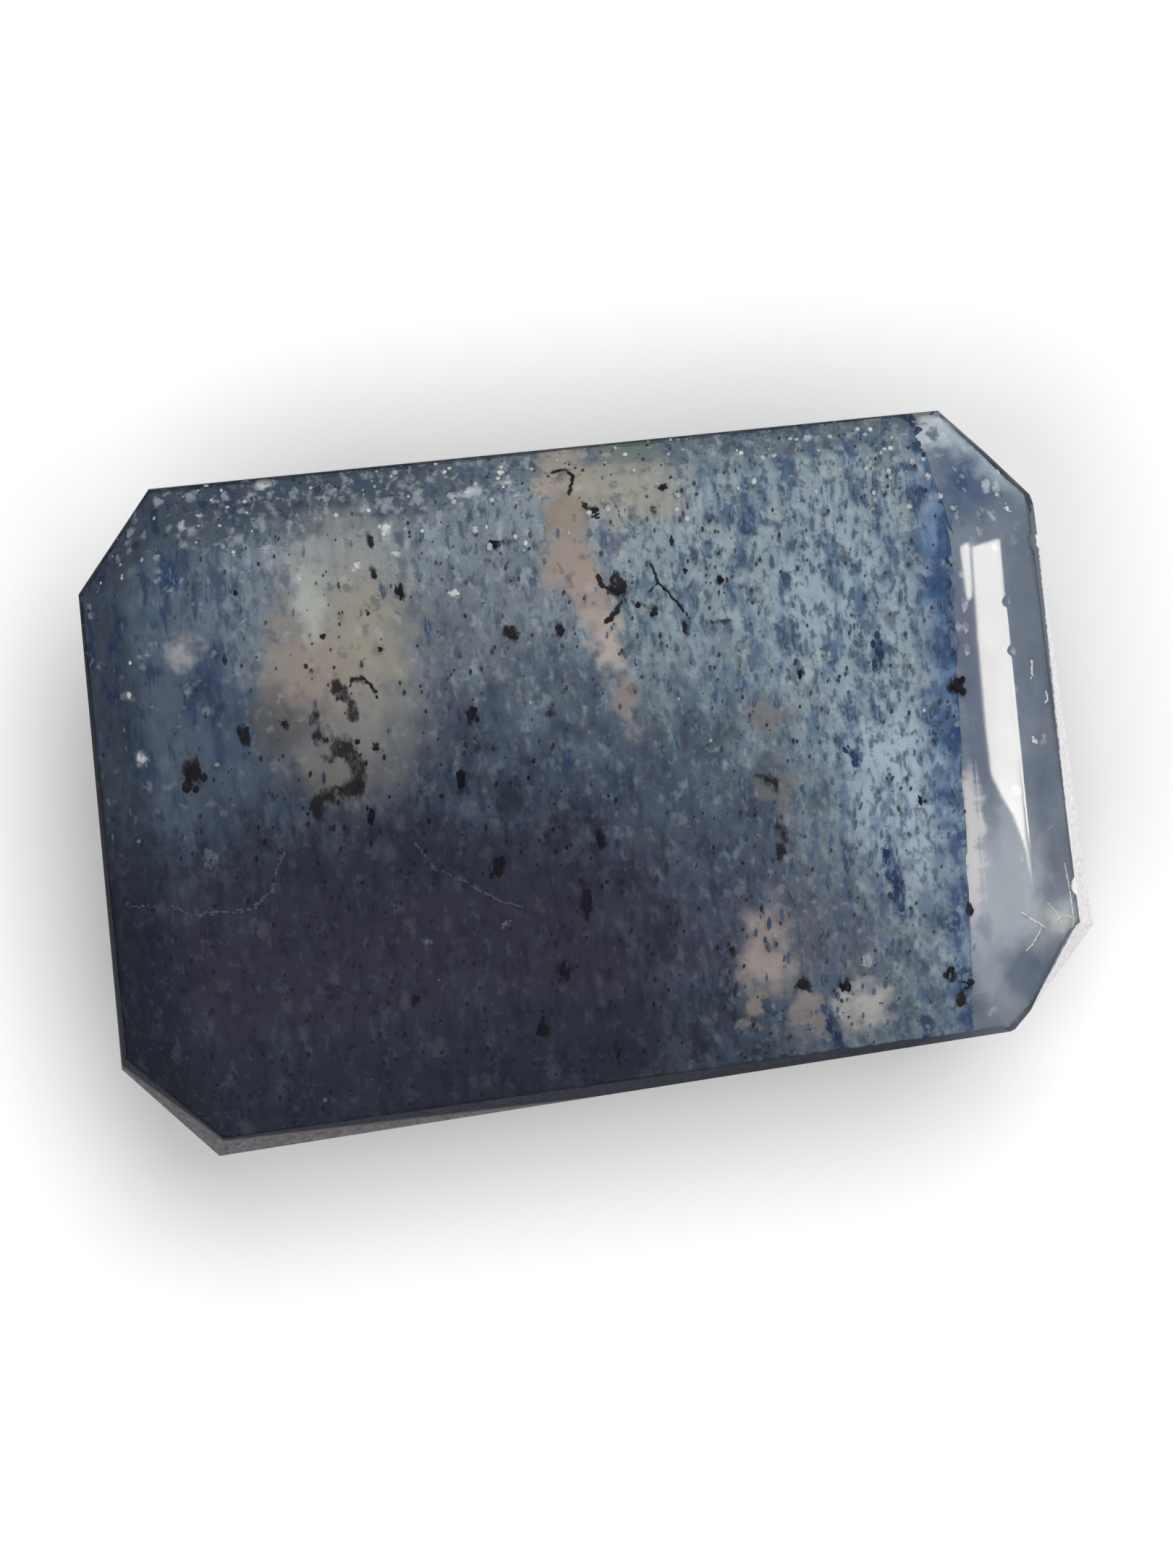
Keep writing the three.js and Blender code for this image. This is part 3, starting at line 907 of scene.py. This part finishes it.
def stain(name, stained_marks):
    """Leaves on the crowded part how near each place lies to some marks, from 0 to 1."""
    mesh = crowded.data
    near = kdtree.KDTree(len(mesh.vertices))
    for vertex in mesh.vertices:
        near.insert((vertex.co.x / MM, vertex.co.y / MM, 0.0), vertex.index)
    near.balance()
    strengths = [0.0] * len(mesh.vertices)
    for (x, y), (half_width, half_length) in stained_marks:
        reach = (STAIN_REACH + STAIN_WANDER) * max(half_width, half_length)
        for place, index, _ in near.find_range((x, y, 0.0), reach):
            away = hypot((place.x - x) / half_width, (place.y - y) / half_length)
            away += STAIN_WANDER * noise.noise(place * STAIN_NOISE)
            strengths[index] = max(strengths[index], step_up(away, STAIN_REACH, STAIN_FULL))
    attribute = mesh.attributes.new(name, "FLOAT", "POINT")
    attribute.data.foreach_set("value", strengths)


def spots_along(lines, spread):
    """Round marks at even steps along lines in plan, each wider than the line by the spread."""
    spots = []
    for half_width, line in lines:
        for start, end in zip(line, line[1:]):
            start, end = Vector(start), Vector(end)
            count = max(2, round((end - start).length / half_width))
            for index in range(count):
                spots.append((tuple(start.lerp(end, index / count)), (half_width * spread,) * 2))
    return spots


def rows(rng, lines, waver=0.7, gaps=0.25):
    """Rows of uneven lumps along lines in plan, close enough to overlap, with gaps left here and there."""
    lumps = []
    for half_width, line in lines:
        for start, end in zip(line, line[1:]):
            low, high = top_of_crowd(*start), top_of_crowd(*end)
            count = max(2, round((high - low).length / (half_width * MM)))
            for index in range(count):
                if rng.random() < gaps:
                    continue
                place = low.lerp(high, (index + 0.5) / count)
                aside, ahead = rng.gauss(0, waver), rng.gauss(0, waver)
                place += Vector((aside, ahead, ROW_LIFT)) * half_width * MM
                width = half_width * rng.uniform(*ROW_WIDTHS) * MM
                lumps.append(lump(rng, place, (high - low).normalized(), width, width * ROW_LENGTH))
    return lumps


stain("dark_stain", DARK_SPOTS + spots_along(THREADS, 1.0) + spots_along(SMEARS, 1.25))
stain("blue_stain", BLUE_STREAKS + spots_along(NAVY_THREADS, 1.0))
# The pale one is a painted glow round the glinting flakes.
stain("pale_glint_halo", PALE_FLECKS)
specks(
    "dark_spots_and_threads", marks(rng, DARK_SPOTS) + rows(rng, THREADS, waver=0.3, gaps=0.05),
    "brown_black_mineral", tint(27, 26, 30), tint(46, 45, 50), tint(26, 28, 36),
)
specks(
    "navy_threads", rows(rng, NAVY_THREADS),
    "dark_lazulite", tint(42, 56, 86), tint(62, 80, 110), tint(34, 40, 56),
)
specks(
    "healed_cracks", rows(rng, HEALED_CRACKS, waver=0.5),
    "healed_quartz", tint(96, 106, 122), tint(130, 138, 150), tint(78, 84, 98),
)

# Small fractures at the clear end, where the stone was knocked. They lie close under the polish, and
# their white or pale yellow glint is painted into their matt colour.
GLINTS = [
    (0.035, [(11.25, 1.4), (11.2, 1.0)]),
    (0.03, [(11.5, 0.6), (11.52, 0.4), (11.45, 0.35)]),
    (0.06, [(11.05, -0.45), (11.1, -0.6)]),
    (0.03, [(10.7, -5.05), (10.5, -5.35), (10.25, -5.6)]),
    (0.025, [(10.25, -4.65), (10.55, -4.9), (10.8, -5.1)]),
    (0.02, [(10.9, -4.5), (11.1, -4.75), (11.2, -5.05)]),
    (0.035, [(11.1, -4.95), (11.25, -4.85), (11.45, -4.9)]),
    (0.02, [(11.4, -5.3), (11.5, -5.0), (11.5, -4.3), (11.45, -3.6)]),
]

specks(
    "glinting_fractures", rows(rng, GLINTS, waver=0.3, gaps=0.0),
    "glinting_quartz", tint(206, 206, 196), tint(236, 237, 232), tint(220, 220, 210),
)

# The camera looks straight down on the table, as the photograph does, with the stone turned by 7
# degrees in the picture.
STONE_TURN = radians(7)
LOOK_AT = Vector((0.125, -0.259, 6.3)) * MM
FRAME_HEIGHT = 38.27 * MM
CAMERA_DISTANCE = 400 * MM

camera_data = bpy.data.cameras.new("camera")
camera_data.sensor_width = 36.0
camera_data.lens = camera_data.sensor_width * CAMERA_DISTANCE / FRAME_HEIGHT
camera_data.clip_start = 0.01
camera_data.clip_end = 10.0
camera = bpy.data.objects.new("camera", camera_data)
camera.location = LOOK_AT + Vector((0, 0, CAMERA_DISTANCE))
camera.rotation_euler = (0, 0, -STONE_TURN)
bpy.context.scene.collection.objects.link(camera)
bpy.context.scene.camera = camera

# A white table top under the stone, and soft studio light: one large lamp from the upper right, two
# weaker ones from the lower left and the lower right, and a dim room.
FLOOR_HALF_SIZE = 3.0
LAMP_DISTANCE = 1.0
LAMP_SIZE = 0.8
# Azimuth and elevation in degrees, and watts.
LAMPS = {
    "key_lamp": (60, 64, 7.0),
    "fill_lamp": (215, 62, 4.0),
    "side_lamp": (325, 62, 2.6),
}
ROOM_LIGHT = 0.08

floor_shape = bmesh.new()
bmesh.ops.create_grid(floor_shape, x_segments=1, y_segments=1, size=FLOOR_HALF_SIZE)
floor_material, floor_tree, floor_output = new_material("white_table_top")
floor_grain = add(floor_tree, "TexNoise", {"Vector": in_millimetres(floor_tree), "Scale": 0.02})
floor_colour = ramp(
    floor_tree, floor_grain.outputs[0], (0.3, tint(250, 250, 250)), (0.7, tint(253, 253, 253))
)
floor_surface = add(floor_tree, "BsdfPrincipled", {"Base Color": floor_colour, "Roughness": 0.9})
floor_tree.links.new(floor_surface.outputs[0], floor_output.inputs["Surface"])
floor = make_piece("floor", floor_shape, floor_material)
floor.visible_glossy = False

for name, (azimuth, elevation, power) in LAMPS.items():
    lamp_data = bpy.data.lights.new(name, "AREA")
    lamp_data.shape = "DISK"
    lamp_data.size = LAMP_SIZE
    lamp_data.energy = power
    lamp = bpy.data.objects.new(name, lamp_data)
    a, e = radians(azimuth), radians(elevation)
    direction = Vector((cos(a) * cos(e), sin(a) * cos(e), sin(e)))
    lamp.location = direction * LAMP_DISTANCE
    lamp.rotation_euler = direction.to_track_quat("Z", "Y").to_euler()
    bpy.context.scene.collection.objects.link(lamp)

world = bpy.data.worlds.new("dim_room")
bpy.context.scene.world = world
world.use_nodes = True
world.node_tree.nodes["Background"].inputs["Color"].default_value = (1.0, 1.0, 1.0, 1.0)
world.node_tree.nodes["Background"].inputs["Strength"].default_value = ROOM_LIGHT

# What the polish mirrors: a narrow bright window in the crown's inner step on the right, and over the
# table's lower half the room's dim violet wall, with a soft upper border. Both are cards that only a
# mirror image shows. Their outlines are given by where they show on the stone.
CARD_DISTANCE = 300 * MM
WINDOW_OUTLINE = [
    (10.84, 4.44), (10.74, 2.05), (10.73, 0.02), (10.64, -1.59), (10.59, -2.79),
    (10.61, -4.0), (10.58, -3.75), (10.54, -3.1), (10.35, -2.32), (10.1, -1.72),
    (9.92, -1.21), (9.93, -0.11), (10.01, 2.14), (10.13, 4.32),
]
SLIVER_OUTLINE = [(9.85, 4.35), (9.85, 3.02), (10.0, 3.12), (10.08, 4.32), (10.06, 4.45)]
WALL_OUTLINE = [(-10.2, -5.4), (9.4, -5.4), (9.4, 0.5), (-10.2, 0.5)]


def mirrored(x, y, facet):
    """What the camera sees mirrored in a facet over a place in plan, at the cards' distance."""
    outward, point = facet
    plan = Vector((x, y, 0)) * MM
    place = plan + Vector((0, 0, (point - plan).dot(outward) / outward.z))
    ray = (place - camera.location).normalized()
    return place + ray.reflect(outward) * CARD_DISTANCE


def mirrored_card(name, outline, facet, material):
    """A card whose mirror image fills an outline on a facet, and that nothing else shows."""
    card = bmesh.new()
    corners = [card.verts.new(mirrored(x, y, facet)) for x, y in outline]
    bmesh.ops.contextual_create(card, geom=corners)
    piece = make_piece(name, card, material)
    piece.visible_camera = False
    piece.visible_diffuse = False
    piece.visible_transmission = False
    piece.visible_shadow = False


def glowing(name, colour, strength, fade_low, fade_high):
    """An even glow that fades out across the card from one place to another, in millimetres along Y."""
    material, tree, output = new_material(name)
    along = add(tree, "SeparateXYZ", {0: in_millimetres(tree)}).outputs[1]
    shining = number(tree, "MULTIPLY", band(tree, along, fade_high, fade_low), strength)
    glow = add(tree, "Emission", {"Color": colour, "Strength": shining})
    tree.links.new(glow.outputs[0], output.inputs["Surface"])
    return material


# The crown's inner step at the clear end: it leans to +X and still looks mostly up.
inner_step = next(facet for facet in facets if facet[0].x > 0.35 and facet[0].z > 0.85)
table = next(facet for facet in facets if is_table(facet[0]))
window_light = glowing("window_light", tint(255, 249, 238), 14.5, fade_low=90.0, fade_high=100.0)
mirrored_card("window", WINDOW_OUTLINE, inner_step, window_light)
mirrored_card("window_sliver", SLIVER_OUTLINE, inner_step, window_light)
wall_light = glowing("violet_wall", (1.0, 0.5, 0.66, 1.0), 0.17, fade_low=-6.0, fade_high=0.0)
mirrored_card("wall", WALL_OUTLINE, table, wall_light)

bpy.context.scene.view_settings.view_transform = "Standard"
bpy.context.scene.view_settings.look = "None"
